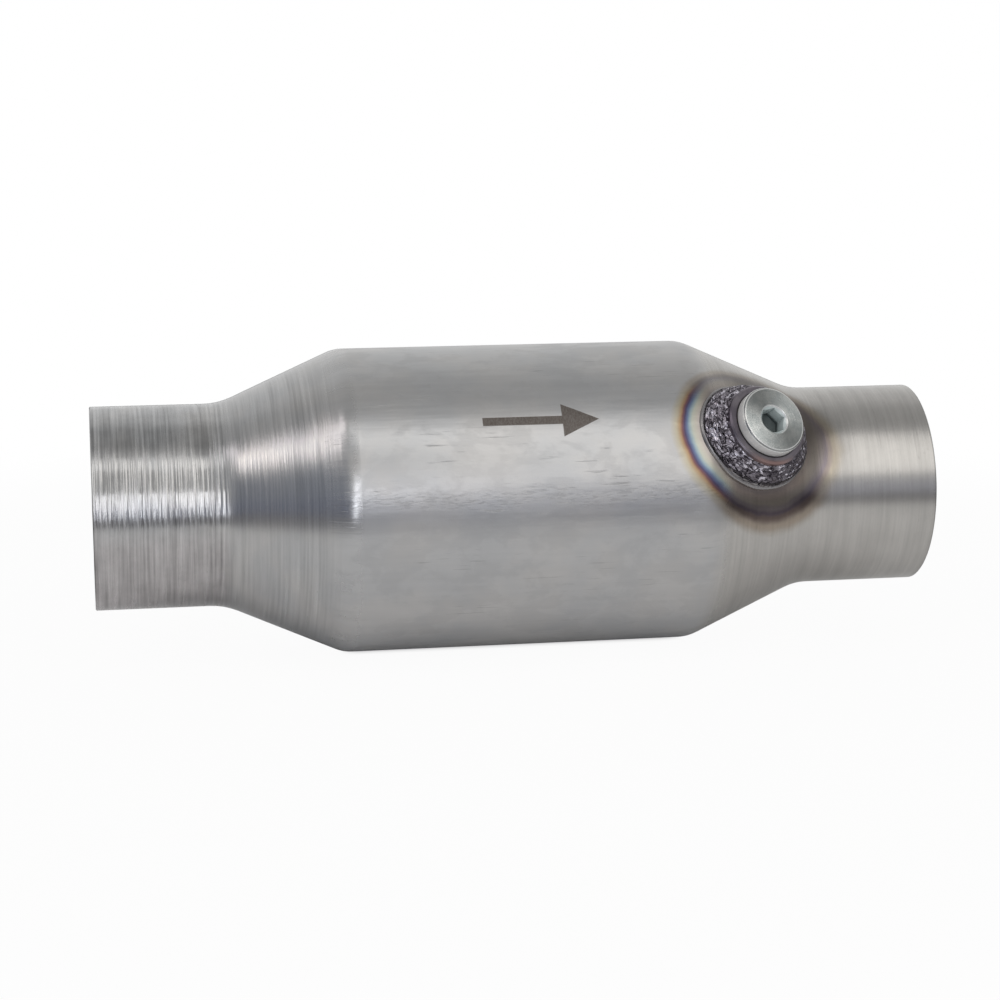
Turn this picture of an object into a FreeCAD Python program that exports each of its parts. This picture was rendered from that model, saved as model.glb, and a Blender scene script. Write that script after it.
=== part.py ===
import FreeCAD, Part
import math
import os
from FreeCAD import Vector

# Catalytic converter for a 2.5 in exhaust pipe, in millimetres.
# X runs with the gas from the inlet's end at 0, Z is up, and the sensor boss faces up and to -Y.

# Shell: one tube, spun down at both ends
body_diameter = 101.6
wall = 1.5
pipe_diameter = 63.5
pipe_clearance = 0.35
inlet_neck = 42.0
inlet_cone = 39.0
body_length = 117.4
outlet_cone = 39.0
outlet_neck = 42.0
neck_bend = 22.0
shoulder_inner_bend = 12.5
rim_break = 0.3

# Ceramic brick and what holds it
brick_length = 101.6
mat_gap = 3.2
brick_skin = 1.2
cell_pitch = 5.4
cell_web = 0.7
smallest_cell_share = 0.2
brick_edge_break = 0.6
seal_width = 6.0
seal_setback = 3.0
seal_corner = 1.1
mat_joint_gap = 0.8
mat_tongue = 14.0
mat_joint_angle = 150.0

# Sensor boss on the outlet cone
boss_up_cone = 22.4
boss_elevation = 35.0
boss_lean = 18.0
boss_diameter = 28.0
boss_rise = 8.2
boss_length = 13.2
boss_edge_break = 0.5
spigot_diameter = 22.0
spigot_clearance = 0.1
thread_diameter = 18.0
thread_pitch = 1.5
thread_clearance = 0.05
boss_mouth_chamfer = 0.8

# Screw plug
plug_collar_diameter = 23.0
plug_collar_height = 4.2
plug_collar_break = 0.6
plug_thread_length = 11.8
plug_relief_width = 1.6
plug_relief_depth = 0.7
plug_tip_chamfer = 1.2
socket_across_flats = 8.0
socket_turn = 18.0
socket_depth = 6.0
socket_mouth_diameter = 10.3
socket_mouth_angle = 45.0
socket_drill_angle = 118.0

# Weld bead round the boss
bead_toe_along = 7.6
bead_toe_across = 4.5
bead_climb = 6.4
bead_crown = 0.9
bead_ripples = 14
bead_ripple_height = 0.28
points_per_ripple = 4
bead_shares = (-0.3, 0, 0.33, 0.67, 1, 1.15)

# Worked out from the sizes above
pipe_bore = pipe_diameter / 2 + pipe_clearance
neck_radius = pipe_bore + wall
body_radius = body_diameter / 2
body_bore = body_radius - wall
cone_start = inlet_neck
body_start = cone_start + inlet_cone
body_end = body_start + body_length
cone_end = body_end + outlet_cone
length = cone_end + outlet_neck
brick_radius = body_bore - mat_gap
brick_start = (body_start + body_end - brick_length) / 2
brick_end = brick_start + brick_length
x_axis = Vector(1, 0, 0)


# A line through corners in the X, radius plane, with each inner corner rounded to its bend radius.
# Each stretch is kept as its start, its end and, for a bend, its centre and radius.
def bent_line(corners, bends):
    stretches = []
    start = corners[0]
    for before, corner, after, bend in zip(corners, corners[1:], corners[2:], bends):
        back = (before - corner).normalize()
        ahead = (after - corner).normalize()
        half_opening = back.getAngle(ahead) / 2
        reach = bend / math.tan(half_opening)
        centre = corner + (back + ahead).normalize() * (bend / math.sin(half_opening))
        bend_start = corner + back * reach
        bend_end = corner + ahead * reach
        stretches.append((start, bend_start, None, 0))
        stretches.append((bend_start, bend_end, centre, bend))
        start = bend_end
    stretches.append((start, corners[-1], None, 0))
    return stretches


def edges_of(stretches):
    edges = []
    for start, end, centre, bend in stretches:
        if centre is None:
            edges.append(Part.LineSegment(start, end).toShape())
        else:
            middle = centre + ((start + end) / 2 - centre).normalize() * bend
            edges.append(Part.Arc(start, middle, end).toShape())
    return edges


# The corners moved towards the axis by the wall, measured square to each run
def inner_corners(corners):
    moved = []
    for i, corner in enumerate(corners):
        runs = [corners[k + 1] - corners[k] for k in (i - 1, i) if 0 <= k < len(corners) - 1]
        normals = [Vector(run.y, -run.x, 0).normalize() for run in runs]
        shift = normals[0] + normals[-1]
        moved.append(corner + shift * (wall / (1 + normals[0].dot(normals[-1]))))
    return moved


outer_corners = [
    Vector(0, neck_radius, 0),
    Vector(cone_start, neck_radius, 0),
    Vector(body_start, body_radius, 0),
    Vector(body_end, body_radius, 0),
    Vector(cone_end, neck_radius, 0),
    Vector(length, neck_radius, 0),
]
shoulder_bend = shoulder_inner_bend + wall
outer_line = bent_line(outer_corners, [neck_bend, shoulder_bend, shoulder_bend, neck_bend])
inner_line = bent_line(
    inner_corners(outer_corners),
    [neck_bend + wall, shoulder_inner_bend, shoulder_inner_bend, neck_bend + wall],
)


# Outside radius of the bare shell at a place along X
def outer_radius(x):
    for start, end, centre, bend in outer_line:
        if x <= end.x:
            break
    if centre is None:
        return start.y + (end.y - start.y) * (x - start.x) / (end.x - start.x)
    side = 1 if start.y > centre.y else -1
    return centre.y + side * math.sqrt(max(bend ** 2 - (x - centre.x) ** 2, 0))


def turned(edges):
    return Part.Face(Part.Wire(Part.__sortEdges__(edges))).revolve(Vector(0, 0, 0), x_axis, 360)


def line(a, b):
    return Part.LineSegment(a, b).toShape()


# Everything inside the shell's outer surface, as a solid bar
def outer_bar():
    ends = [
        line(Vector(0, 0, 0), Vector(0, neck_radius, 0)),
        line(Vector(length, neck_radius, 0), Vector(length, 0, 0)),
        line(Vector(length, 0, 0), Vector(0, 0, 0)),
    ]
    return turned(edges_of(outer_line) + ends)


# A frame on the boss: its origin is where the boss axis meets the cone's outer surface
boss_x = cone_end - boss_up_cone
elevation = math.radians(boss_elevation)
lean = math.radians(boss_lean)
radial = Vector(0, -math.cos(elevation), math.sin(elevation))
boss_axis = radial * math.cos(lean) + x_axis * math.sin(lean)
down_cone = x_axis * math.cos(lean) - radial * math.sin(lean)
around = boss_axis.cross(down_cone)
boss_origin = x_axis * boss_x + radial * outer_radius(boss_x)


def on_boss(height, reach=0, angle=0):
    sideways = down_cone * math.cos(angle) + around * math.sin(angle)
    return boss_origin + boss_axis * height + sideways * reach


# Height over the boss origin at which the cone's surface lies, at a reach and angle from the axis
def surface_height(reach, angle):
    low = -body_radius / 2
    high = body_radius / 2
    while high - low > 1e-7:
        middle = (low + high) / 2
        point = on_boss(middle, reach, angle)
        if math.hypot(point.y, point.z) < outer_radius(point.x):
            low = middle
        else:
            high = middle
    return low


def boss_cylinder(radius, bottom, top):
    return Part.makeCylinder(radius, top - bottom, on_boss(bottom), boss_axis)


def boss_cone(bottom_radius, top_radius, bottom, top):
    return Part.makeCone(bottom_radius, top_radius, top - bottom, on_boss(bottom), boss_axis)


boss_bottom = boss_rise - boss_length
bore_radius = (thread_diameter - 0.65 * thread_pitch) / 2 + thread_clearance
collar_top = boss_rise + plug_collar_height


def make_shell():
    profile = edges_of(outer_line) + edges_of(inner_line)
    profile.append(line(outer_line[0][0], inner_line[0][0]))
    profile.append(line(outer_line[-1][1], inner_line[-1][1]))
    tube = turned(profile)
    ends = [face for face in tube.Faces if face.BoundBox.XLength < 1e-6]
    tube = tube.makeChamfer(rim_break, [face.OuterWire.Edges[0] for face in ends])
    hole = boss_cylinder(spigot_diameter / 2 + spigot_clearance, boss_bottom * 2, boss_rise)
    return tube.cut(hole)


# One square channel, cut off at the brick's skin where it reaches that far
def channel_outline(y, z, opening):
    inside = brick_radius - brick_skin
    corners = [
        Vector(0, y + opening * a, z + opening * b)
        for a, b in ((-0.5, -0.5), (0.5, -0.5), (0.5, 0.5), (-0.5, 0.5), (-0.5, -0.5))
    ]
    square = Part.Wire(Part.makePolygon(corners))
    reaches = [corner.Length for corner in corners]
    if max(reaches) <= inside:
        return square
    if min(reaches) >= inside:
        return None
    skin = Part.Face(Part.Wire(Part.makeCircle(inside, Vector(0, 0, 0), x_axis)))
    kept = Part.Face(square).common(skin)
    if kept.Area < smallest_cell_share * opening ** 2:
        return None
    return kept.Faces[0].OuterWire


def make_brick():
    opening = cell_pitch - cell_web
    rows = math.ceil(brick_radius / cell_pitch)
    places = [(k + 0.5) * cell_pitch for k in range(-rows, rows)]
    outlines = [channel_outline(y, z, opening) for y in places for z in places]
    channels = [Part.Face(outline) for outline in outlines if outline]
    block = Part.makeCylinder(brick_radius, brick_length, Vector(0, 0, 0), x_axis)
    rims = [edge for edge in block.Edges if edge.Closed and len(edge.Vertexes) == 1]
    block = block.makeChamfer(brick_edge_break, rims)
    holes = Part.makeCompound(channels).extrude(x_axis * brick_length)
    brick = block.cut(holes)
    brick.translate(x_axis * brick_start)
    return brick


# A ring that fills the gap between brick and shell
def gap_ring(start, width):
    outer = Part.makeCylinder(body_bore, width, x_axis * start, x_axis)
    return outer.cut(Part.makeCylinder(brick_radius, width, x_axis * start, x_axis))


def make_mesh_seal(start):
    ring = gap_ring(start, seal_width)
    rims = [edge for edge in ring.Edges if len(edge.Vertexes) == 1]
    return ring.makeChamfer(seal_corner, rims)


# The mat's two ends meet in a stepped joint: a tongue on one end enters a groove in the other
def make_mat():
    start = brick_start + seal_setback + seal_width
    width = brick_length - 2 * (seal_setback + seal_width)
    third = width / 3
    tongue_turn = math.degrees(mat_tongue / body_bore)
    gap_turn = math.degrees(mat_joint_gap / body_bore)
    mat = gap_ring(start, width)
    slits = [
        (0, third, mat_joint_angle, gap_turn),
        (third, third, mat_joint_angle + tongue_turn, gap_turn),
        (2 * third, third, mat_joint_angle, gap_turn),
        (third - mat_joint_gap, mat_joint_gap, mat_joint_angle, tongue_turn + gap_turn),
        (2 * third, mat_joint_gap, mat_joint_angle, tongue_turn + gap_turn),
    ]
    for offset, slit_width, angle, turn in slits:
        slit = Part.makeCylinder(body_radius, slit_width, Vector(0, 0, 0), Vector(0, 0, 1), turn)
        slit.rotate(Vector(0, 0, 0), Vector(0, 1, 0), 90)
        slit.rotate(Vector(0, 0, 0), x_axis, angle)
        slit.translate(x_axis * (start + offset))
        mat = mat.cut(slit)
    return mat


# The boss: a turned ring coped to the cone, with a spigot through the shell's hole
def make_boss(bar):
    ring = boss_cylinder(boss_diameter / 2, boss_bottom, boss_rise - boss_edge_break)
    top_radius = boss_diameter / 2 - boss_edge_break
    ring = ring.fuse(boss_cone(boss_diameter / 2, top_radius, boss_rise - boss_edge_break, boss_rise))
    spigot = boss_cylinder(spigot_diameter / 2, boss_bottom, 0)
    bore = boss_cylinder(bore_radius, boss_bottom, boss_rise)
    mouth = boss_cone(bore_radius, bore_radius + boss_mouth_chamfer, boss_rise - boss_mouth_chamfer, boss_rise)
    return ring.cut(bar).fuse(spigot).cut(bore).cut(mouth).removeSplitter()


# One turn of the bead's surface: a closed curve at a share of the way from the toe up to the boss.
# Shares below 0 and above 1 carry the flank on into the shell and the boss, which are cut away from it.
def bead_ring(share, flat_height=None):
    count = bead_ripples * points_per_ripple
    boss_radius = boss_diameter / 2
    points = []
    for k in range(count):
        angle = 2 * math.pi * k / count
        along = math.cos(angle) / (boss_radius + bead_toe_along)
        across = math.sin(angle) / (boss_radius + bead_toe_across)
        toe = 1 / math.hypot(along, across)
        toe_height = surface_height(toe, angle)
        ripple = bead_ripple_height * abs(math.sin(angle * bead_ripples / 2))
        crown = (bead_crown + ripple) * 4 * share * (1 - share)
        reach = toe + (boss_radius - toe) * share + crown
        height = toe_height + (bead_climb - toe_height) * share + crown
        points.append(on_boss(height if flat_height is None else flat_height, reach, angle))
    curve = Part.BSplineCurve()
    curve.interpolate(Points=points, PeriodicFlag=True)
    return Part.Wire(curve.toShape())


def make_bead(bar):
    rings = [bead_ring(share) for share in bead_shares]
    floor = bead_ring(bead_shares[0], boss_bottom * 2)
    ceiling = bead_ring(bead_shares[-1], boss_rise)
    flank = Part.makeLoft(rings, False, False)
    below = Part.makeLoft([floor, rings[0]], False, True)
    above = Part.makeLoft([rings[-1], ceiling], False, True)
    skin = flank.Faces + below.Faces + above.Faces + [Part.Face(floor), Part.Face(ceiling)]
    shell = Part.Shell(skin)
    shell.sewShape()
    mound = Part.Solid(Part.Shell(shell.Faces))
    boss_hole = boss_cylinder(boss_diameter / 2, boss_bottom * 3, collar_top)
    return mound.cut(bar).cut(boss_hole)


def make_plug():
    thread_radius = bore_radius - thread_clearance
    thread_bottom = boss_rise - plug_thread_length
    collar_radius = plug_collar_diameter / 2
    break_start = collar_top - plug_collar_break
    body = boss_cylinder(collar_radius, boss_rise, break_start)
    body = body.fuse(boss_cone(collar_radius, collar_radius - plug_collar_break, break_start, collar_top))
    relief_bottom = boss_rise - plug_relief_width
    tip_top = thread_bottom + plug_tip_chamfer
    relief_radius = thread_radius - plug_relief_depth
    body = body.fuse(boss_cylinder(relief_radius, relief_bottom, boss_rise))
    body = body.fuse(boss_cylinder(thread_radius, tip_top, relief_bottom))
    body = body.fuse(boss_cone(thread_radius - plug_tip_chamfer, thread_radius, thread_bottom, tip_top))
    # Hex socket, with a drilled point below it and a countersunk mouth
    corner_radius = socket_across_flats / 2 / math.cos(math.pi / 6)
    floor = collar_top - socket_depth
    turns = [math.radians(socket_turn + 60 * k) for k in range(7)]
    corners = [on_boss(floor, corner_radius, turn) for turn in turns]
    socket = Part.Face(Part.Wire(Part.makePolygon(corners))).extrude(boss_axis * socket_depth)
    drill_radius = socket_across_flats / 2
    drill_depth = drill_radius / math.tan(math.radians(socket_drill_angle / 2))
    socket = socket.fuse(boss_cone(0, drill_radius, floor - drill_depth, floor))
    mouth_radius = socket_mouth_diameter / 2
    mouth_depth = mouth_radius / math.tan(math.radians(socket_mouth_angle))
    mouth = boss_cone(0, mouth_radius, collar_top - mouth_depth, collar_top)
    return body.cut(socket).cut(mouth).removeSplitter()


bar = outer_bar()
seal_end = brick_end - seal_setback - seal_width
nodes = {
    "shell": make_shell(),
    "ceramic_brick": make_brick(),
    "support_mat": make_mat(),
    "inlet_mesh_seal": make_mesh_seal(brick_start + seal_setback),
    "outlet_mesh_seal": make_mesh_seal(seal_end),
    "sensor_boss": make_boss(bar),
    "boss_weld": make_bead(bar),
    "screw_plug": make_plug(),
}
os.makedirs("parts", exist_ok=True)
for name, shape in nodes.items():
    shape.exportStep("parts/" + name + ".step")
    print(name, shape.ShapeType, len(shape.Solids), shape.isValid(), round(shape.Volume, 1), "mm3")
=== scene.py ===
import math

import bpy
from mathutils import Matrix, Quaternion, Vector, noise


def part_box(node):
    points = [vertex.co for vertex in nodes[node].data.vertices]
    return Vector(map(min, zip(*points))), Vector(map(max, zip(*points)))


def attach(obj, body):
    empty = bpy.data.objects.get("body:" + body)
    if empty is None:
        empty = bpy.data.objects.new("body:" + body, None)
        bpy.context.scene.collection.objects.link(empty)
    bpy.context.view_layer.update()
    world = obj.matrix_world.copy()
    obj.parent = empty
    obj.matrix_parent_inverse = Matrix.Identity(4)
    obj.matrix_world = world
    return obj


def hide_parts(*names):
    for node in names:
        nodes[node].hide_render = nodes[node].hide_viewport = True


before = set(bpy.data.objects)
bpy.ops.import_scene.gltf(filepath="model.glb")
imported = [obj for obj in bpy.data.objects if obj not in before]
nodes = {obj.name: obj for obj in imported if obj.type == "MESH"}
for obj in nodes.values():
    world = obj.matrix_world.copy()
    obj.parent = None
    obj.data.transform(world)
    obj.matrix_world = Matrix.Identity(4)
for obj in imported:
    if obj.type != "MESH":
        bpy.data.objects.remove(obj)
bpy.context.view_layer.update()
mm = 0.001
print("frame loaded")

# Sizes that several pieces share, in millimetres as the part is drawn
shellSize = {
    "neckRadius": 33.6,
    "bodyRadius": 50.8,
    "neckEnd": 42.0,
    "bodyStart": 81.0,
    "length": 279.4,
    "neckBend": 22.0,
    "shoulderBend": 14.0,
}
bossPlace = {
    "x": 215.0,
    "elevation": 35.0,  # degrees above level, towards -Y
    "lean": 18.0,  # degrees towards the outlet
    "radius": 14.0,
}
beadSize = {
    "along": 7.6,  # from the boss to the toe, down the cone
    "across": 4.5,  # and round the cone
    "climb": 6.4,  # height at which it meets the boss
    "crown": 0.9,
}


# Outside of the shell

def shellRadius(x):
    s = shellSize
    # how far in from either end, and how far the cone has climbed there
    slope = math.atan2(s["bodyRadius"] - s["neckRadius"], s["bodyStart"] - s["neckEnd"])
    if x > s["length"] / 2:
        x = s["length"] - x
    neckReach = s["neckBend"] * math.tan(slope / 2)
    bodyReach = s["shoulderBend"] * math.tan(slope / 2)
    if x <= s["neckEnd"] - neckReach:
        return s["neckRadius"]
    if x < s["neckEnd"] + neckReach * math.cos(slope):
        across = x - (s["neckEnd"] - neckReach)
        return s["neckRadius"] + s["neckBend"] - math.sqrt(s["neckBend"] ** 2 - across ** 2)
    if x <= s["bodyStart"] - bodyReach * math.cos(slope):
        return s["neckRadius"] + (x - s["neckEnd"]) * math.tan(slope)
    if x < s["bodyStart"] + bodyReach:
        across = s["bodyStart"] + bodyReach - x
        return s["bodyRadius"] - s["shoulderBend"] + math.sqrt(s["shoulderBend"] ** 2 - across ** 2)
    return s["bodyRadius"]


# The boss's own directions: out along its axis, down the cone, and round the cone
elevation = math.radians(bossPlace["elevation"])
lean = math.radians(bossPlace["lean"])
radial = Vector((0, -math.cos(elevation), math.sin(elevation)))
bossAxis = radial * math.cos(lean) + Vector((math.sin(lean), 0, 0))
downCone = Vector((math.cos(lean), 0, 0)) - radial * math.sin(lean)
aroundCone = bossAxis.cross(downCone)
bossOrigin = Vector((bossPlace["x"], 0, 0)) + radial * shellRadius(bossPlace["x"])


def onBoss(height, reach, angle):
    across = downCone * math.cos(angle) + aroundCone * math.sin(angle)
    return bossOrigin + bossAxis * height + across * reach


def surfaceHeight(reach, angle):
    # how far up the boss's axis the shell's skin lies, found by halving the gap
    low, high = -25.0, 25.0
    for _ in range(32):
        middle = (low + high) / 2
        point = onBoss(middle, reach, angle)
        if math.hypot(point.y, point.z) < shellRadius(point.x):
            low = middle
        else:
            high = middle
    return low


# Meshes

def gridFaces(rows, columns, closedRows=False):
    faces = []
    for r in range(rows if closedRows else rows - 1):
        for c in range(columns):
            a, b = r * columns + c, r * columns + (c + 1) % columns
            nextRow = (r + 1) % rows * columns
            faces.append((a, b, nextRow + (c + 1) % columns, nextRow + c))
    return faces


def makePiece(name, points, faces, material, smoothAngle=35):
    mesh = bpy.data.meshes.new(name)
    mesh.from_pydata([tuple(Vector(p) * mm) for p in points], [], faces)
    mesh.validate()
    mesh.update()
    piece = bpy.data.objects.new(name, mesh)
    bpy.context.scene.collection.objects.link(piece)
    mesh.materials.append(material)
    mesh.shade_smooth()
    mesh.set_sharp_from_angle(angle=math.radians(smoothAngle))
    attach(piece, "root")
    return piece


# Shader tools

class Signal:
    # a node's output that works in plain expressions
    def __init__(self, paint, socket):
        self.paint = paint
        self.socket = socket

    def __add__(self, other):
        return self.paint.maths("ADD", self, other)

    def __sub__(self, other):
        return self.paint.maths("SUBTRACT", self, other)

    def __rsub__(self, other):
        return self.paint.maths("SUBTRACT", other, self)

    def __mul__(self, other):
        return self.paint.maths("MULTIPLY", self, other)

    def __truediv__(self, other):
        return self.paint.maths("DIVIDE", self, other)

    def __rtruediv__(self, other):
        return self.paint.maths("DIVIDE", other, self)

    def __pow__(self, other):
        return self.paint.maths("POWER", self, other)

    def __neg__(self):
        return self.paint.maths("MULTIPLY", self, -1)

    def __abs__(self):
        return self.paint.maths("ABSOLUTE", self)

    __radd__ = __add__
    __rmul__ = __mul__


class Paint:
    # one material; everything it mixes is made through node()
    def __init__(self, name, metallic=1.0, world=None):
        self.owner = world or bpy.data.materials.new(name)
        self.owner.use_nodes = True
        self.tree = self.owner.node_tree
        self.shader = self.tree.nodes.get("Principled BSDF")
        if self.shader:
            self.shader.inputs["Metallic"].default_value = metallic

    def node(self, kind, settings=None, sockets=None):
        made = self.tree.nodes.new("ShaderNode" + kind)
        for key, value in (settings or {}).items():
            if key == "stops":
                ramp = made.color_ramp
                while len(ramp.elements) < len(value):
                    ramp.elements.new(0.5)
                for element, (position, colour) in zip(ramp.elements, value):
                    element.position = position
                    element.color = (*colour, 1)
            else:
                setattr(made, key, value)
        for key, value in (sockets or {}).items():
            self.feed(made.inputs[key], value)
        return made

    def feed(self, socket, value):
        if isinstance(value, Signal):
            self.tree.links.new(value.socket, socket)
        elif isinstance(value, bpy.types.NodeSocket):
            self.tree.links.new(value, socket)
        elif hasattr(value, "__len__") and len(value) == 3 and socket.type == "RGBA":
            socket.default_value = (*value, 1)
        else:
            socket.default_value = value

    def out(self, node, name=0):
        return Signal(self, node.outputs[name])

    def maths(self, operation, *values):
        sockets = dict(enumerate(values))
        return self.out(self.node("Math", {"operation": operation}, sockets))

    def vector(self, operation, *values, output=0):
        sockets = dict(enumerate(values))
        return self.out(self.node("VectorMath", {"operation": operation}, sockets), output)

    def scaled(self, colour, amount):
        return self.out(self.node("VectorMath", {"operation": "SCALE"}, {0: colour, "Scale": amount}))

    def mixed(self, factor, a, b, blend="MIX"):
        made = self.node("Mix", {"data_type": "RGBA", "blend_type": blend}, {0: factor, 6: a, 7: b})
        return self.out(made, 2)

    def ramp(self, value, stops, interpolation="LINEAR"):
        made = self.node("ValToRGB", {"stops": stops}, {0: value})
        made.color_ramp.interpolation = interpolation
        return self.out(made)

    def fade(self, value, low, high, top=1.0):
        # 0 below low, top above high, eased between
        made = self.node(
            "MapRange",
            {"interpolation_type": "SMOOTHSTEP", "clamp": True},
            {"Value": value, "From Min": low, "From Max": high, "To Max": top},
        )
        return self.out(made)

    def cloud(self, point, scale, detail=2.0, roughness=0.5, distortion=0.0):
        sockets = {"Vector": point, "Scale": scale, "Detail": detail}
        sockets.update({"Roughness": roughness, "Distortion": distortion})
        return self.out(self.node("TexNoise", None, sockets))

    def point(self, x, y, z):
        return self.out(self.node("CombineXYZ", None, {0: x, 1: y, 2: z}))

    def place(self):
        # where the surface is, in the part's own millimetres
        here = self.out(self.node("TexCoord"), "Object")
        return self.scaled(here, 1000.0)

    def parts(self, point):
        made = self.node("SeparateXYZ", None, {0: point})
        return self.out(made, 0), self.out(made, 1), self.out(made, 2)

    def wear(self, **sockets):
        for name, value in sockets.items():
            self.feed(self.shader.inputs[name.replace("_", " ")], value)

    def bump(self, height, distance, strength=1.0, under=None):
        sockets = {"Height": height, "Distance": distance, "Strength": strength}
        if under is not None:
            sockets["Normal"] = under
        bumped = self.out(self.node("Bump", None, sockets))
        self.feed(self.shader.inputs["Normal"], bumped)
        return bumped


def bossReach(paint, point):
    # from the boss's axis: down the cone, round the cone and straight away from it, then up along it
    def along(direction):
        dot = paint.vector("DOT_PRODUCT", point, tuple(direction), output="Value")
        return dot - bossOrigin.dot(direction)
    down, around = along(downCone), along(aroundCone)
    reach = (down * down + around * around) ** 0.5
    return down, around, reach, along(bossAxis)


def toeShare(down, around):
    # 1 at the bead's toe and less inside it
    return ((down / (bossPlace["radius"] + beadSize["along"])) ** 2
            + (around / (bossPlace["radius"] + beadSize["across"])) ** 2) ** 0.5


# Spun steel of the shell

steelLook = {
    "warm": (0.572, 0.566, 0.558),
    "cool": (0.548, 0.552, 0.556),
    "pink": (0.550, 0.532, 0.532),  # low on the inlet neck: a painted warm reflection
    "straw": (0.578, 0.563, 0.538),  # past the weld
    "scale": (0.46, 0.44, 0.42),  # inside
    "neckRoughness": (0.20, 0.20, 0.20),
    "coneRoughness": (0.24, 0.24, 0.24),
    "shoulderRoughness": (0.22, 0.22, 0.22),
    "bodyRoughness": (0.32, 0.32, 0.32),
    "outletRoughness": (0.25, 0.25, 0.25),
    "inletMarks": 1.0,  # how deep the turning marks are on the inlet neck, the cones and the outlet neck
    "coneMarks": 0.75,
    "outletMarks": 0.25,
    "rubAndShadeBelt": 0.19,  # height of the belt of rubbing and painted shade on the body's side, as a share of the radius
    "latheDepth": 0.00012,
    "drawnDepth": 0.00012,
    # mm along the axis over which one stretch's finish takes over from the next
    "inletFade": (46, 40),
    "inletConeFade": (81, 70),
    "outletConeFade": (197, 206),
    "shadeBandUp": 0.8,  # height of the painted dark band of shade along the inlet neck, as a share of the radius
    "insideFade": (0.6, 1.1),  # mm below the outside at which the inner face begins
}
tintLook = {
    "reach": 9.0,  # mm from the bead's toe that the ramps cover
    "clear": (1, 1, 1),
    # soot, with painted shade beside the plug
    "sootAndShade": (0.16, 0.14, 0.13),
    "left": [
        (0.00, (0.92, 0.84, 0.78)),
        (0.09, (1.0, 0.94, 0.82)),
        (0.19, (0.96, 0.98, 0.85)),
        (0.27, (0.64, 0.80, 0.86)),
        (0.35, (0.30, 0.38, 0.60)),
        (0.43, (0.20, 0.16, 0.29)),
        (0.50, (0.42, 0.22, 0.21)),
        (0.57, (0.80, 0.55, 0.34)),
        (0.68, (0.95, 0.86, 0.66)),
        (0.88, (1.0, 1.0, 1.0)),
    ],
    # below the boss the ramp starts darker at the toe: painted shade under the bead's lip
    "below": [
        (0.00, (0.44, 0.38, 0.36)),
        (0.12, (0.56, 0.48, 0.43)),
        (0.27, (0.52, 0.47, 0.42)),
        (0.39, (0.37, 0.33, 0.35)),
        (0.49, (0.22, 0.185, 0.225)),
        (0.58, (0.28, 0.225, 0.215)),
        (0.76, (0.70, 0.62, 0.54)),
        (1.00, (1.0, 1.0, 1.0)),
    ],
    "right": [
        (0.00, (0.45, 0.40, 0.38)),
        (0.22, (0.62, 0.57, 0.53)),
        (0.36, (0.62, 0.57, 0.58)),
        (0.46, (0.60, 0.54, 0.61)),
        (0.54, (0.76, 0.67, 0.64)),
        (0.64, (0.93, 0.86, 0.74)),
        (0.92, (1.0, 1.0, 1.0)),
    ],
}
etchLook = {
    "x": 143.0,
    "elevation": 39.7,
    "shaftStart": -19.0,
    "headStart": 7.0,
    "tip": 19.0,
    "halfShaft": 1.5,
    "headSlope": 0.5,
    "overlap": 0.5,  # of the shaft and the head
    "edge": 0.12,  # softness of the outline
    "colour": (0.16, 0.135, 0.115),
}


def heatTint(paint, point):
    # rings of colour round the weld, wider away from the cone's upper end
    down, around, reach, out = bossReach(paint, point)
    left, top = -down / reach, around / reach
    width = 1.32 - left * 0.25 - top * 0.22
    wander = (paint.cloud(point, 0.16, 2.0, 0.5) - 0.5) * 0.12
    beyond = (toeShare(down, around) - 1) * 20 / width / tintLook["reach"] + wander
    tint = paint.mixed(
        paint.fade(left, 0.35, 0.7) * paint.fade(top, 0.75, 0.35),
        paint.ramp(beyond, tintLook["below"], "EASE"),
        paint.ramp(beyond, tintLook["left"]),
    )
    tint = paint.mixed(paint.fade(left, -0.78, -0.97), tint, paint.ramp(beyond, tintLook["right"], "EASE"))
    tint = paint.mixed(paint.fade(top, 0.45, 0.9, 0.4), tint, tintLook["clear"])
    # darker to the right of the plug: soot, with painted shade beside the plug
    sootAndShade = paint.fade(top - left, 0.5, 1.2, 0.7) * paint.fade(beyond, 1.25, 0.3)
    tint = paint.mixed(sootAndShade, tint, tintLook["sootAndShade"])
    # none on the far side of the shell
    return paint.mixed(paint.fade(out, -27, -20), tintLook["clear"], tint)


def flowArrow(paint, x, y, z, front, up):
    # how deeply a plain arrow is etched here
    look = etchLook
    edge = look["edge"]
    turn = paint.maths("ARCTAN2", z, -y)
    u = x - look["x"]
    height = abs((turn - math.radians(look["elevation"])) * shellSize["bodyRadius"])
    shaft = paint.fade(look["halfShaft"] - height, -edge, edge)
    shaft = shaft * paint.fade(u - look["shaftStart"], -edge, edge)
    shaft = shaft * paint.fade(look["headStart"] + look["overlap"] - u, -edge, edge)
    head = paint.fade((look["tip"] - u) * look["headSlope"] - height, -edge, edge)
    head = head * paint.fade(u - look["headStart"], -edge, edge)
    grain = paint.cloud(paint.point(x * 2.5, front * 60, up * 60), 1.0, 3.0, 0.7)
    return paint.maths("MAXIMUM", shaft, head) * paint.fade(front, 0.0, 0.1) * (0.62 + grain * 0.5)


def evenNormal(paint, y, z, radius):
    # the mesh's own normals jump where its turn closes at the back, so they are pointed away from the axis
    along, aside, above = paint.parts(paint.out(paint.node("NewGeometry"), "Normal"))
    outward = (aside * y + above * z) / radius
    return paint.point(along, outward * y / radius, outward * z / radius)


def innerFace(paint, x, radius):
    # 1 on the inside of the shell and 0 on its outside
    s = shellSize
    half = s["length"] / 2
    fromEnd = half - abs(x - half)
    climb = (fromEnd - s["neckEnd"]) / (s["bodyStart"] - s["neckEnd"])
    climb = paint.maths("MAXIMUM", paint.maths("MINIMUM", climb, 1.0), 0.0)
    outside = s["neckRadius"] + climb * (s["bodyRadius"] - s["neckRadius"])
    return paint.fade(outside - radius, *steelLook["insideFade"])


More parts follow.
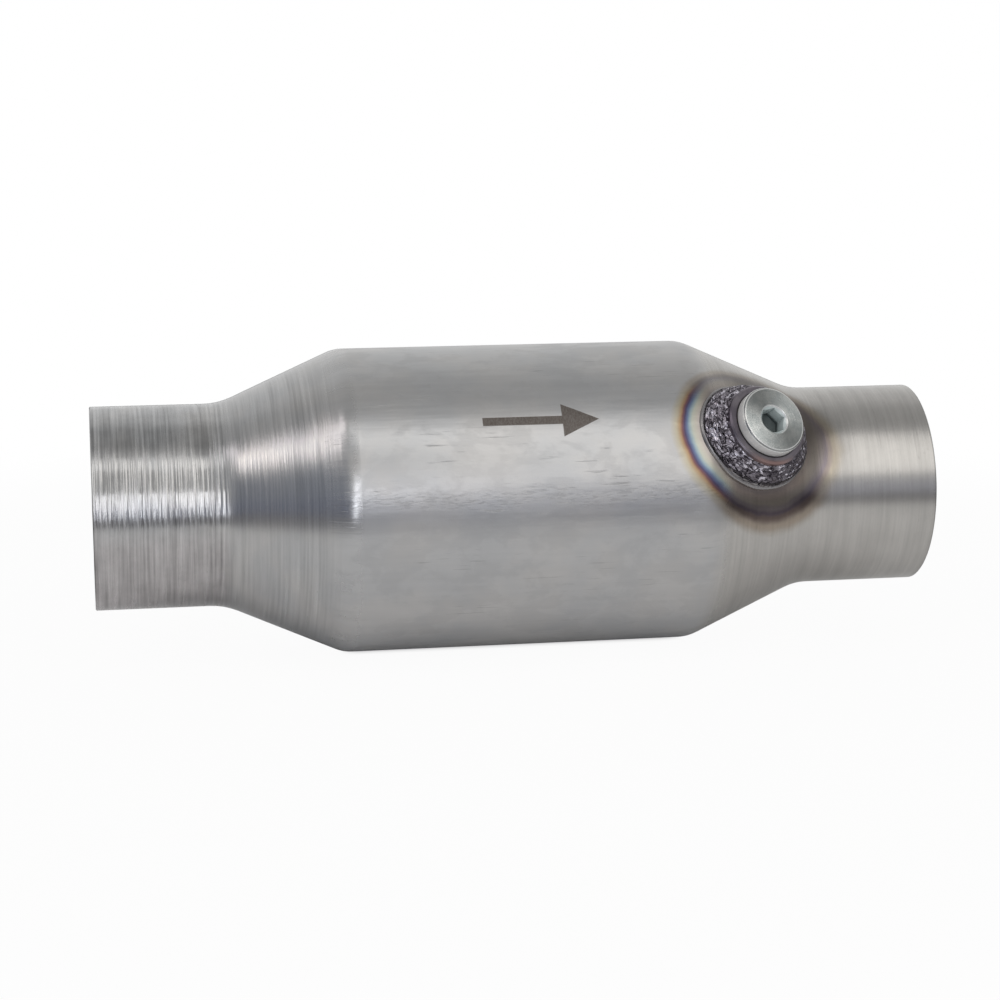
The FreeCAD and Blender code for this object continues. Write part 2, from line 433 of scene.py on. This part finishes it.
def spunSteel():
    paint = Paint("spunSteel")
    point = paint.place()
    x, y, z = paint.parts(point)
    radius = (y * y + z * z) ** 0.5
    front = -y / radius
    up = z / radius
    inlet = paint.fade(x, *steelLook["inletFade"])
    inletCone = paint.fade(x, *steelLook["inletConeFade"])
    outletCone = paint.fade(x, *steelLook["outletConeFade"])
    spun = inletCone + outletCone
    body = 1 - spun
    marks = inletCone * steelLook["coneMarks"] + inlet * (steelLook["inletMarks"] - steelLook["coneMarks"])
    marks = marks + outletCone * steelLook["outletMarks"]

    # turning marks run round the necks and cones, drawing marks run along the body
    turning = paint.cloud(paint.point(x * 1.25, front, up), 1.0, 3.0, 0.6)
    bars = paint.cloud(paint.point(x * 1.15, front * 0.7, up * 0.7), 1.0, 1.0, 0.5)
    coarseTurning = paint.cloud(paint.point(x * 0.3, front * 0.8, up * 0.8), 1.0, 2.0, 0.5)
    drawn = paint.cloud(paint.point(x * 0.02, front * 26, up * 26), 1.0, 4.0, 0.6)
    waves = paint.cloud(paint.point(x * 0.03, front * 5, up * 5), 1.0, 3.0, 0.6)
    blotch = paint.cloud(point, 0.05, 3.0, 0.55)
    smudge = paint.cloud(paint.point(x * 0.055, front * 4.5, up * 4.5), 1.0, 5.0, 0.65, 0.3)
    smudge = paint.fade(smudge, 0.47, 0.56)

    # scratches along the body: loose groups all round, and a ragged belt along its side, partly rubbing
    # and partly painted shade under the highlight
    fine = paint.cloud(paint.point(x * 0.07, front * 75, up * 75), 1.0, 2.0, 0.6)
    scratch = paint.fade(fine, 0.63, 0.7) * paint.fade(waves, 0.5, 0.58) * body
    rubbed = paint.cloud(paint.point(x * 0.3, front * 70, up * 70), 1.0, 3.0, 0.65)
    beltHeight = steelLook["rubAndShadeBelt"] + (paint.cloud(paint.point(x * 0.04, 0, 0), 1.0, 3.0, 0.6) - 0.5) * 0.3
    rubAndShadeBelt = paint.fade(abs(up - beltHeight), 0.085, 0.02) * paint.fade(rubbed, 0.46, 0.62) * body

    tone = 1 + (turning - 0.5) * (spun * 0.3 + inletCone * 0.3 + inlet * 0.4)
    tone = tone + (bars - 0.5) * (inletCone * 0.15 + inlet * 0.5)
    stain = paint.cloud(point, 0.13, 4.0, 0.65)
    grime = paint.fade(paint.cloud(point, 0.8, 3.0, 0.7), 0.60, 0.70)
    tone = tone + (coarseTurning - 0.5) * spun * 0.3 + (blotch - 0.5) * 0.16
    tone = tone + (stain - 0.5) * (inlet * 0.45 + outletCone * 0.15) - grime * spun * 0.08
    tone = tone + (0.1 + (drawn - 0.5) * 0.14 + (waves - 0.5) * 0.12 - smudge * 0.05) * body
    # the belt darkens the colour at one height: painted shade along the highlight's lower edge, with
    # rubbing
    tone = tone - scratch * 0.15 - rubAndShadeBelt * 0.16
    # both rims are a little darker, and a band along the inlet neck is painted darker: painted shade
    half = shellSize["length"] / 2
    tone = tone - paint.fade(abs(x - half), half - 0.7, half - 0.1) * 0.4
    tone = tone - inlet * paint.fade(abs(up - steelLook["shadeBandUp"]), 0.13, 0.05) * 0.12
    steel = paint.mixed(paint.fade(blotch, 0.35, 0.65), steelLook["cool"], steelLook["warm"])
    # the inlet neck is tinted pink underneath: a painted warm reflection
    steel = paint.mixed(inlet * paint.fade(up, 0.05, -0.25), steel, steelLook["pink"])
    steel = paint.mixed(outletCone, steel, steelLook["straw"])
    steel = paint.scaled(steel, tone)
    steel = paint.mixed(1.0, steel, heatTint(paint, point), "MULTIPLY")
    etched = flowArrow(paint, x, y, z, front, up)
    steel = paint.mixed(etched, steel, etchLook["colour"])

    # the inlet neck and the rolled shoulder next to the body are the smoothest
    rough = paint.mixed(paint.fade(x, 49, 40), steelLook["coneRoughness"], steelLook["neckRoughness"])
    rough = paint.mixed(paint.fade(x, 75, 80), rough, steelLook["shoulderRoughness"])
    rough = paint.mixed(paint.fade(x, 81.5, 85.5), rough, steelLook["bodyRoughness"])
    rough = paint.mixed(outletCone, rough, steelLook["outletRoughness"])
    rough, _, _ = paint.parts(rough)
    rough = rough + ((drawn - 0.5) * 0.14 + smudge * 0.05 + scratch * 0.2) * body + etched * 0.25
    rough = rough + (turning - 0.5) * (inletCone * 0.2 + inlet * 0.5)
    lathe = (turning + coarseTurning) * marks + bars * inlet * 1.7
    under = paint.bump(lathe, steelLook["latheDepth"], 1.0, evenNormal(paint, y, z, radius))
    dents = (drawn * 0.3 + waves) * body
    paint.bump(dents - etched * 0.2 - scratch * 0.15 - rubAndShadeBelt * 0.1, steelLook["drawnDepth"], 1.0, under)

    # the inside is dull with scale
    inside = innerFace(paint, x, radius)
    steel = paint.mixed(inside, steel, paint.scaled(steelLook["scale"], 0.8 + stain * 0.4))
    paint.wear(Base_Color=steel, Roughness=rough + inside * 0.3, Metallic=1 - inside * 0.6)
    return paint.owner


# Zinc plated plug

zincLook = {
    "dull": (0.49, 0.52, 0.51),
    "bright": (0.62, 0.64, 0.62),
    "speck": (0.30, 0.31, 0.31),
    "wall": (0.95, 0.95, 0.92),  # the collar's side
    # painted highlight on the rounded edges and the countersink
    "paintedGlint": (0.95, 0.96, 0.94),
    # painted shade on the chamfer face between the bright edges
    "chamfer": (0.36, 0.37, 0.37),
    "socket": (0.80, 0.88, 0.87),
    # grease, and painted shade in the socket and at the collar's foot
    "greaseAndShade": (0.03, 0.045, 0.045),
    "turnedDepth": 0.00007,
    "mottleDepth": 0.00003,
    "dome": -0.0045,  # how fast the face falls away from its middle
    "domeDepth": 0.001,
}


def zincPlate():
    paint = Paint("zincPlate")
    point = paint.place()
    down, around, reach, out = bossReach(paint, point)
    mottle = paint.cloud(point, 0.35, 4.0, 0.6)
    specks = paint.cloud(point, 2.2, 3.0, 0.7)
    zinc = paint.mixed(paint.fade(mottle, 0.35, 0.65), zincLook["dull"], zincLook["bright"])
    zinc = paint.mixed(paint.fade(specks, 0.66, 0.8, 0.35), zinc, zincLook["speck"])
    turned = paint.cloud(paint.point(reach * 7.0, out * 7.0, 0.0), 1.0, 2.0, 0.6)
    top, mouth, collar = plugLook["top"], plugLook["mouth"], plugLook["collar"]
    wall = paint.fade(reach, collar - 0.15, collar - 0.05)
    zinc = paint.mixed(wall, zinc, zincLook["wall"])
    # painted sheen: the turned face is made lighter along one line across it and darker across that line
    across = (down * plugLook["paintedSheen"][0] + around * plugLook["paintedSheen"][1]) / reach
    face = paint.fade(out, top - 0.2, top - 0.05) * paint.fade(reach, mouth, mouth + 0.3)
    zinc = paint.scaled(zinc, 1 + face * ((across * across * 2 - 1) * 0.42 - across * 0.08))
    # the rounded edges and the countersink are painted near-white: painted highlights along them; the
    # chamfer face between the edges is painted darker: painted shade
    chamfer = plugLook["chamfer"]
    corner = paint.fade(reach + out, collar + top - chamfer - 0.32, collar + top - chamfer - 0.18)
    flat = corner * paint.fade(abs(reach - collar + chamfer / 2), 0.22, 0.12)
    sink = paint.fade(reach, mouth + 0.02, mouth - 0.04) * paint.fade(out, top - 1.2, top - 1.1)
    zinc = paint.mixed(paint.maths("MAXIMUM", corner, sink), zinc, zincLook["paintedGlint"])
    zinc = paint.mixed(flat, zinc, zincLook["chamfer"])
    # the socket is darker at its bottom: grease, with painted shade in the recess; the collar is painted
    # dark where it meets the boss: painted shade
    inSocket = paint.fade(reach, mouth - 0.2, mouth - 0.6)
    deep = inSocket * paint.fade(out, top - 4.0, top - 5.6)
    foot = plugLook["bottom"]
    deep = paint.maths("MAXIMUM", deep, wall * paint.fade(out, foot + 0.35, foot + 0.2))
    zinc = paint.mixed(inSocket, zinc, zincLook["socket"])
    zinc = paint.mixed(deep * 0.88, zinc, zincLook["greaseAndShade"])
    paint.wear(
        Base_Color=zinc,
        Roughness=0.2 + mottle * 0.1 + wall * 0.08 + deep * 0.25 + sink * 0.06,
        Metallic=1 - wall * 0.65 - inSocket * 0.65,
    )
    under = paint.bump(turned, zincLook["turnedDepth"])
    under = paint.bump(mottle + specks * 0.2, zincLook["mottleDepth"], 1.0, under)
    # the face is turned very slightly domed
    paint.bump(reach * reach * zincLook["dome"], zincLook["domeDepth"], 1.0, under)
    return paint.owner


# Boss ring, tinted by the weld

bossLook = {
    "violet": (0.19, 0.17, 0.20),
    "pale": (0.29, 0.265, 0.29),
    "rust": (0.42, 0.25, 0.21),  # at the ring's lower edge
    "shade": (0.05, 0.045, 0.05),  # beside the plug's collar
    "bare": (0.42, 0.40, 0.39),  # inside the shell
    "turnedDepth": 0.00004,
}


def bossSteel():
    paint = Paint("bossSteel")
    point = paint.place()
    _, around, reach, out = bossReach(paint, point)
    smoke = paint.cloud(point, 0.12, 3.0, 0.5)
    tinted = paint.mixed(paint.fade(smoke, 0.35, 0.65), bossLook["violet"], bossLook["pale"])
    rust = paint.fade(-around / reach, 0.75, 1.0) * paint.fade(reach, 12.4, 13.6)
    tinted = paint.mixed(rust * 0.6, tinted, bossLook["rust"])
    collar = plugLook["collar"]
    tinted = paint.mixed(paint.fade(reach, collar + 0.6, collar + 0.1), tinted, bossLook["shade"])
    inside = paint.fade(out, -1.5, -2.5)
    tinted = paint.mixed(inside, tinted, bossLook["bare"])
    turned = paint.cloud(paint.point(reach * 3.0, out * 3.0, 0.0), 1.0, 3.0, 0.6)
    paint.wear(Base_Color=paint.scaled(tinted, 0.8 + turned * 0.4), Roughness=0.24 + smoke * 0.15)
    paint.bump(turned, bossLook["turnedDepth"])
    return paint.owner


# Weld metal

weldLook = {
    "dark": (0.16, 0.145, 0.165),
    "pale": (0.30, 0.28, 0.315),
    "shiny": (0.80, 0.77, 0.85),
    # oxide, and painted shade in the creases
    "shadedCrease": (0.075, 0.066, 0.08),
    "lip": (0.36, 0.35, 0.355),
    "undercutShade": (0.06, 0.055, 0.06),  # the line above the lip, painted near-black: painted shade in the groove
    "creaseDepth": 0.0003,
}


def weldMetal():
    paint = Paint("weldMetal")
    point = paint.place()
    down, around, reach, out = bossReach(paint, point)
    toe = toeShare(down, around)
    # lumps drawn out round the boss, with black creases between them: oxide, and painted shade in the
    # creases
    drawn = paint.point(down / reach * 9.0, around / reach * 9.0, (reach - out) * 0.75)
    coarse = paint.cloud(point, 0.3, 2.0, 0.5)
    lumps = paint.cloud(drawn, 0.62, 1.5, 0.5, 0.35)
    shadedCrease = paint.fade(abs(lumps - 0.5), 0.0, 0.07)
    # brighter towards the body, where the bead catches the light
    bright = paint.fade(-down / reach, -0.2, 0.8)
    shiny = paint.fade(paint.cloud(drawn, 0.75, 1.0, 0.5) + bright * 0.06, 0.57, 0.66)
    scale = paint.mixed(paint.fade(coarse, 0.35, 0.65), weldLook["dark"], weldLook["pale"])
    scale = paint.scaled(scale, 1 + bright * 0.35)
    scale = paint.mixed(shiny, scale, weldLook["shiny"])
    scale = paint.mixed(shadedCrease, weldLook["shadedCrease"], scale)
    lip = paint.fade(toe, 0.948, 0.962)
    scale = paint.mixed(lip, scale, weldLook["lip"])
    # painted shade along the groove above the lip
    scale = paint.mixed(paint.fade(abs(toe - 0.941), 0.012, 0.004), scale, weldLook["undercutShade"])
    paint.wear(Base_Color=scale, Roughness=0.27 - shiny * 0.13 + lip * 0.05)
    paint.bump(shadedCrease * (1 - lip), weldLook["creaseDepth"])
    return paint.owner


# Honeycomb, mat and wire rings

coreLook = {
    "washcoat": ((0.36, 0.29, 0.21), (0.50, 0.43, 0.34)),
    "grainDepth": 0.0001,
    "mat": ((0.66, 0.61, 0.50), (0.42, 0.33, 0.20)),  # fibre and mica flakes
    "flakeDepth": 0.0004,
    "wire": ((0.06, 0.055, 0.05), (0.50, 0.49, 0.48)),  # gaps, painted near-black as shade, and wires
    "wireRadius": 48.0,
    "wireDepth": 0.0003,
}


def washcoat():
    paint = Paint("washcoat", 0.0)
    point = paint.place()
    stain = paint.cloud(point, 0.06, 4.0, 0.6)
    grain = paint.cloud(point, 1.5, 3.0, 0.7)
    colour = paint.mixed(stain, *coreLook["washcoat"])
    paint.wear(Base_Color=paint.scaled(colour, 0.85 + grain * 0.3), Roughness=0.92)
    paint.bump(grain, coreLook["grainDepth"])
    return paint.owner


def matFibre():
    paint = Paint("matFibre", 0.0)
    flakes = paint.cloud(paint.place(), 0.9, 4.0, 0.75, 0.6)
    colour = paint.mixed(paint.fade(flakes, 0.45, 0.62), *coreLook["mat"])
    paint.wear(Base_Color=colour, Roughness=0.95)
    paint.bump(flakes, coreLook["flakeDepth"])
    return paint.owner


def knittedWire():
    paint = Paint("knittedWire")
    x, y, z = paint.parts(paint.place())
    turn = paint.maths("ARCTAN2", z, -y) * coreLook["wireRadius"]
    loops = paint.maths("SINE", turn * 4.2 + paint.maths("SINE", x * 3.1) * 1.6)
    wires = paint.fade(loops, -0.3, 0.7)
    # the gaps between the wires are painted dark: painted shade
    colour = paint.mixed(wires, *coreLook["wire"])
    paint.wear(Base_Color=colour, Roughness=0.38)
    paint.bump(wires, coreLook["wireDepth"])
    return paint.owner


# Weld bead, from its toe on the cone up to the boss

beadLook = {
    "columns": 1080,
    "rows": 64,
    "lip": 0.13,  # share of the flank, from the toe, that stays smooth
    "lipRise": 0.22,
    "groove": 0.22,
    "pebble": 0.75,  # depth of the creases between the lumps
    "grit": 0.3,
    "sag": 0.35,
    "toeWander": 0.3,
}


def ease(value, low, high):
    t = min(max((value - low) / (high - low), 0.0), 1.0)
    return t * t * (3 - 2 * t)


def beadToe(angle):
    radius, wander = bossPlace["radius"], beadLook["toeWander"]
    toe = 1 / math.hypot(math.cos(angle) / (radius + beadSize["along"] - wander),
                         math.sin(angle) / (radius + beadSize["across"] - wander))
    return toe + wander * noise.noise(Vector((math.cos(angle) * 2.2, math.sin(angle) * 2.2, 4.0)))


def beadRoughness(angle, share, spot):
    # rounded lumps with sharp creases between, drawn out round the boss
    look = beadLook
    drift = noise.noise(spot * 0.5) * 1.2
    around = Vector((math.cos(angle + drift * 0.08), math.sin(angle + drift * 0.08), 0)) * 7.5
    lumps = abs(noise.noise(around + Vector((0, 0, share * 8 + drift)))) ** 0.6
    small = abs(noise.noise(around * 2.2 + Vector((3, 7, share * 15)))) ** 0.7
    return (lumps - 0.5) * look["pebble"] + (small - 0.4) * look["grit"]


def makeBead(material):
    look = beadLook
    columns, rows = look["columns"], look["rows"]
    radius, climb = bossPlace["radius"], beadSize["climb"]
    turns = [2 * math.pi * c / columns for c in range(columns)]
    toes = [beadToe(turn) for turn in turns]
    feet = [surfaceHeight(toe, turn) for turn, toe in zip(turns, toes)]
    points = []
    for r in range(rows):
        share = -0.04 + 1.07 * r / (rows - 1)
        rough = ease(share, look["lip"], look["lip"] + 0.06) * (1 - ease(share, 0.93, 1.0))
        lip = look["lipRise"] * (1 - (2 * share / look["lip"] - 1) ** 2) if 0 < share < look["lip"] else 0
        groove = look["groove"] * math.exp(-((share - look["lip"] - 0.02) / 0.022) ** 2)
        crown = beadSize["crown"] * 4 * share * (1 - share)
        for turn, toe, foot in zip(turns, toes, feet):
            reach = toe + (radius - toe) * share
            height = foot + (climb - foot) * share
            spot = onBoss(height, reach, turn)
            outward = onBoss(0, 1, turn) - bossOrigin
            facing = (outward * (climb - foot) + bossAxis * (toe - radius)).normalized()
            sag = look["sag"] * noise.noise(spot * 0.22)
            lift = crown + lip - groove + rough * (sag + beadRoughness(turn, share, spot))
            points.append(spot + facing * lift)
    # closed off underneath, inside the steel
    inner = radius - 1.0
    points += [onBoss(climb - 1.5, inner, turn) for turn in turns]
    points += [onBoss(surfaceHeight(inner, turn) - 0.8, inner, turn) for turn in turns]
    faces = gridFaces(rows + 2, columns, closedRows=True)
    bead = makePiece("weldBead", points, faces, material, 60)
    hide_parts("boss_weld")


# Honeycomb with its real channels, open from end to end

brickLook = {
    "pitch": 1.27,  # 400 channels to the square inch
    "web": 0.17,
    "skin": 1.2,
    "skinProud": 0.03,
    "skinSteps": 180,
}


def makeBrick(material):
    low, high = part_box("ceramic_brick")
    start, end, radius = low.x / mm, high.x / mm, high.z / mm
    look = brickLook
    half = (look["pitch"] - look["web"]) / 2
    rows = int(radius / look["pitch"]) + 1
    limit = radius - look["skin"] * 0.25
    centres = {}
    for i in range(-rows, rows):
        for j in range(-rows, rows):
            y, z = (i + 0.5) * look["pitch"], (j + 0.5) * look["pitch"]
            if math.hypot(abs(y) + half, abs(z) + half) < limit:
                centres[i, j] = (y, z)
    points, faces, first = [], [], {}
    signs = ((-1, -1), (1, -1), (1, 1), (-1, 1))
    for key, (y, z) in centres.items():
        first[key] = len(points)
        for x in (start, end):
            points += [(x, y + half * a, z + half * b) for a, b in signs]
        n = first[key]
        faces += [(n + k, n + (k + 1) % 4, n + 4 + (k + 1) % 4, n + 4 + k) for k in range(4)]
    for (i, j), n in first.items():
        right, upper, corner = first.get((i + 1, j)), first.get((i, j + 1)), first.get((i + 1, j + 1))
        for side, flip in ((0, 1), (4, -1)):
            if right is not None:
                faces.append([n + side + 1, right + side, right + side + 3, n + side + 2][::flip])
            if upper is not None:
                faces.append([n + side + 3, n + side + 2, upper + side + 1, upper + side][::flip])
            if None not in (right, upper, corner):
                faces.append([n + side + 2, right + side + 3, corner + side, upper + side + 1][::flip])
    # the skin is a tube that stands a hair proud of the webs
    base = len(points)
    steps = look["skinSteps"]
    ends = (start - look["skinProud"], end + look["skinProud"])
    inner = radius - look["skin"]
    for x, r in ((ends[0], inner), (ends[0], radius), (ends[1], radius), (ends[1], inner)):
        for k in range(steps):
            turn = 2 * math.pi * k / steps
            points.append((x, r * math.cos(turn), r * math.sin(turn)))
    faces += [tuple(base + v for v in f) for f in gridFaces(4, steps, closedRows=True)]
    brick = makePiece("honeycomb", points, faces, material, 30)
    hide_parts("ceramic_brick")
    print("honeycomb channels:", len(centres))


# Plug with rounded edges, a countersunk hex socket and its thread

plugLook = {
    "columns": 288,
    "collar": 11.5,
    "bottom": 8.2,
    "top": 12.4,
    "chamfer": 0.6,
    "edge": 0.22,
    "paintedSheen": (0.812, 0.584),  # direction of the painted sheen, down the cone and round it
    "hexFlat": 4.0,
    "hexTurn": 18.0,  # degrees round from down the cone
    "mouth": 5.15,
    "socket": 6.0,
    "drill": 2.4,
    "threadRadius": 8.51,
    "thread": 0.42,
    "pitch": 1.5,
    "threadEnd": -3.6,
}


def roundedCorners(profile, size, steps=4):
    # each corner of a lathe profile becomes a small bend
    bent = [profile[0]]
    for before, corner, after in zip(profile, profile[1:], profile[2:]):
        corner = Vector(corner)
        into, away = Vector(before) - corner, Vector(after) - corner
        bend = min(size, into.length * 0.45, away.length * 0.45)
        start, end = corner + into.normalized() * bend, corner + away.normalized() * bend
        for k in range(steps + 1):
            s = k / steps
            bent.append(tuple(start * (1 - s) ** 2 + corner * 2 * s * (1 - s) + end * s ** 2))
    return bent + [profile[-1]]


def makePlug(material):
    look = plugLook
    columns = look["columns"]
    turns = [2 * math.pi * c / columns for c in range(columns)]
    sixth = math.pi / 3
    top, bottom, collar, chamfer = look["top"], look["bottom"], look["collar"], look["chamfer"]

    def hexRadius(turn):
        inFlat = (turn - math.radians(look["hexTurn"]) + sixth / 2) % sixth - sixth / 2
        return look["hexFlat"] / math.cos(sixth / 2 - abs(inFlat))

    def threadedRadius(turn, height):
        place = (height / look["pitch"] - turn / (2 * math.pi)) % 1
        fadeOut = ease(height, look["threadEnd"] + 0.2, look["threadEnd"] + 1.6)
        fadeOut *= 1 - ease(height, bottom - 2.6, bottom - 1.9)
        return look["threadRadius"] + look["thread"] * (abs(place * 2 - 1) * 2 - 1) * fadeOut

    rows = [
        [(0.05, top - look["socket"] - look["drill"])] * columns,
        [(look["hexFlat"] * 0.97, top - look["socket"] - 0.05)] * columns,
        [(hexRadius(t), top - look["socket"]) for t in turns],
        [(hexRadius(t), top - (look["mouth"] - hexRadius(t)) - 0.05) for t in turns],
        [(hexRadius(t) + 0.02, top - (look["mouth"] - hexRadius(t)) - 0.01) for t in turns],
        [(hexRadius(t) + 0.05, top - (look["mouth"] - hexRadius(t)) + 0.05) for t in turns],
    ]
    neck = look["threadRadius"] - 0.6
    outline = [
        (look["mouth"] - 0.1, top - 0.1),
        (look["mouth"], top),
        (collar - chamfer, top),
        (collar, top - chamfer),
        (collar, bottom),
        (neck, bottom),
        (neck, bottom - 1.7),
    ]
    rows += [[spot] * columns for spot in roundedCorners(outline, look["edge"])]
    height = bottom - 1.8
    while height > look["threadEnd"] + 1.2:
        rows.append([(threadedRadius(t, height), height) for t in turns])
        height -= look["pitch"] / 8
    rows.append([(look["threadRadius"], look["threadEnd"] + 1.1)] * columns)
    rows.append([(look["threadRadius"] - 1.1, look["threadEnd"])] * columns)
    rows.append([(0.05, look["threadEnd"])] * columns)
    points = [onBoss(h, r, t) for row in rows for t, (r, h) in zip(turns, row)]
    faces = gridFaces(len(rows), columns)
    last = (len(rows) - 1) * columns
    faces.append(tuple(range(columns)))
    faces.append(tuple(range(last, last + columns))[::-1])
    plug = makePiece("plug", points, faces, material, 28)
    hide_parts("screw_plug")


steel = spunSteel()
zinc = zincPlate()
bossTint = bossSteel()
weld = weldMetal()
ceramic = washcoat()
fibre = matFibre()
wire = knittedWire()
print("materials made")


def dress(node, material):
    nodes[node].data.materials.clear()
    nodes[node].data.materials.append(material)


dress("shell", steel)
dress("sensor_boss", bossTint)
dress("support_mat", fibre)
dress("inlet_mesh_seal", wire)
dress("outlet_mesh_seal", wire)
makeBead(weld)
makeBrick(ceramic)
makePlug(zinc)
print("pieces made")


# Floor, light and camera

studio = {
    "floorHalf": 4,  # metres
    "floorColour": (0.90, 0.90, 0.90),
    "floorFar": (0.25, 0.25, 0.26),
    "floorFade": (0.42, 0.24),  # metres from the part over which the far colour gives way: the floor is painted pale near the part and dark grey far off, a painted pool of light
    "shadow": 0.045,  # how much of the floor's own light and shade shows round the part
    "contact": 0.5,  # and how much more of it right under the body
    "mirrored": 0.16,  # how much white the steel sees in the floor, away from the part
    "sky": [  # colour of the room, turning from behind, under, in front, overhead to behind
        (0.00, (0.50, 0.50, 0.50)),
        (0.46, (0.38, 0.385, 0.43)),
        (0.485, (0.335, 0.345, 0.41)),
        (0.52, (0.39, 0.40, 0.45)),
        (0.56, (0.50, 0.50, 0.50)),
        (0.68, (0.50, 0.50, 0.50)),
        (0.735, (0.35, 0.35, 0.35)),
        (0.79, (0.39, 0.39, 0.39)),
        (0.86, (0.57, 0.57, 0.57)),
        (0.93, (0.69, 0.69, 0.69)),
        (1.00, (0.80, 0.80, 0.80)),
    ],
    "flag": {  # the room is darker to the left in front
        "sides": (-0.30, -0.58),
        "turns": ((0.46, 0.50), (0.66, 0.60)),
        "colour": (0.46, 0.49, 0.56),
    },
    "lamps": [  # degrees above level in front, degrees to the right, width and height in metres
        {"name": "frontLamp", "turn": 18, "side": -5, "size": (0.58, 0.48), "level": 1.40,
         "colour": (0.96, 0.96, 1.0)},
        {"name": "highLamp", "turn": 61, "side": -5, "size": (0.75, 0.42), "level": 0.36},
        {"name": "rightLamp", "turn": 45, "side": 18, "size": (0.75, 1.30), "level": 0.68,
         "colour": (1.0, 0.97, 0.94)},
        {"name": "leftLamp", "turn": 68, "side": -38, "size": (0.40, 0.85), "level": 0.90,
         "colour": (1.0, 0.92, 0.94)},
        {"name": "farLeftLamp", "turn": 69, "side": -52, "size": (0.36, 0.40), "level": 1.75,
         "colour": (1.0, 0.92, 0.84)},
        {"name": "lowLeftLamp", "turn": 5, "side": -14, "size": (0.32, 0.26), "level": 1.7,
         "colour": (0.94, 0.96, 1.0)},
    ],
    "lampDistance": 1.6,
}
camera = {
    "azimuth": -9.96,
    "elevation": 12.0,
    "roll": 0.12,
    "distance": 814.8,
    "lens": 86.4,
    "sensor": 36,
    "shiftX": -0.00978,
    "shiftY": -0.00557,
}
middle = Vector((shellSize["length"] / 2 * mm, 0, 0))


def makeFloor():
    ground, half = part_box("shell")[0].z, studio["floorHalf"]
    corners = [(x * half, y * half, ground) for x, y in ((-1, -1), (1, -1), (1, 1), (-1, 1))]
    mesh = bpy.data.meshes.new("floor")
    mesh.from_pydata(corners, [], [(0, 1, 2, 3)])
    floor = bpy.data.objects.new("floor", mesh)
    bpy.context.scene.collection.objects.link(floor)
    paint = Paint("floorPaint", 0.0)
    here = paint.out(paint.node("TexCoord"), "Object")
    away = paint.vector("DISTANCE", here, tuple(middle), output="Value")
    near = paint.fade(away, *studio["floorFade"])
    # painted pool of light: pale floor near the part, dark grey farther off
    paint.wear(Base_Color=paint.mixed(near, studio["floorFar"], studio["floorColour"]), Roughness=0.9)
    rays = paint.node("LightPath")
    seen, mirrored = paint.out(rays, "Is Camera Ray"), paint.out(rays, "Is Glossy Ray")
    white = paint.node("Emission", None, {"Color": (1, 1, 1), "Strength": 1.0})
    x, y, _ = paint.parts(here)
    aside = paint.fade(abs(y), 0.0, 0.06)
    # the darkest shade is right where the body stands
    contact = paint.fade(abs(y), 0.012, 0.004) * paint.fade(abs(x - middle.x), 0.060, 0.052)
    shade = near * studio["shadow"] + contact * studio["contact"]
    share = seen * (1 - shade) + mirrored * near * aside * studio["mirrored"]
    blend = paint.node("MixShader", None, {0: share, 1: paint.shader.outputs[0], 2: white.outputs[0]})
    paint.feed(paint.tree.nodes["Material Output"].inputs[0], blend.outputs[0])
    mesh.materials.append(paint.owner)


def makeRoom():
    world = bpy.data.worlds.new("room")
    bpy.context.scene.world = world
    room = Paint("room", world=world)
    direction = room.out(room.node("TexCoord"), "Generated")
    x, y, z = room.parts(direction)
    turn = room.maths("ARCTAN2", z, -y) / (2 * math.pi) + 0.5
    grey = room.ramp(turn, studio["sky"], "EASE")
    flag = studio["flag"]
    (under, low), (over, high) = flag["turns"]
    flagged = room.fade(x, *flag["sides"]) * room.fade(turn, under, low) * room.fade(turn, over, high)
    grey = room.mixed(flagged, grey, flag["colour"], "MULTIPLY")
    seen = room.out(room.node("LightPath"), "Is Camera Ray")
    background = room.tree.nodes["Background"]
    room.feed(background.inputs["Color"], room.mixed(seen, grey, (1, 1, 1)))


def makeLamp(look):
    width, height = look["size"]
    light = bpy.data.lights.new(look["name"], "AREA")
    light.shape = "RECTANGLE"
    light.size, light.size_y = width, height
    light.energy = look["level"] * math.pi * width * height
    light.color = look.get("colour", (1, 1, 1))
    lamp = bpy.data.objects.new(look["name"], light)
    bpy.context.scene.collection.objects.link(lamp)
    turn, side = math.radians(look["turn"]), math.radians(look["side"])
    way = Vector((math.sin(side), -math.cos(side) * math.cos(turn), math.cos(side) * math.sin(turn)))
    lamp.location = middle + way * studio["lampDistance"]
    lamp.rotation_euler = way.to_track_quat("Z", "Y").to_euler()


def makeCamera():
    data = bpy.data.cameras.new("camera")
    data.lens = camera["lens"]
    data.sensor_width = camera["sensor"]
    data.shift_x, data.shift_y = camera["shiftX"], camera["shiftY"]
    eye = bpy.data.objects.new("camera", data)
    bpy.context.scene.collection.objects.link(eye)
    a, e = math.radians(camera["azimuth"]), math.radians(camera["elevation"])
    back = Vector((math.sin(a) * math.cos(e), -math.cos(a) * math.cos(e), math.sin(e)))
    eye.location = middle + back * camera["distance"] * mm
    level = back.to_track_quat("Z", "Y")
    eye.rotation_euler = (level @ Quaternion((0, 0, 1), math.radians(camera["roll"]))).to_euler()
    bpy.context.scene.camera = eye


makeFloor()
makeRoom()
for look in studio["lamps"]:
    makeLamp(look)
makeCamera()
bpy.context.scene.view_settings.view_transform = "Standard"
print("studio ready")
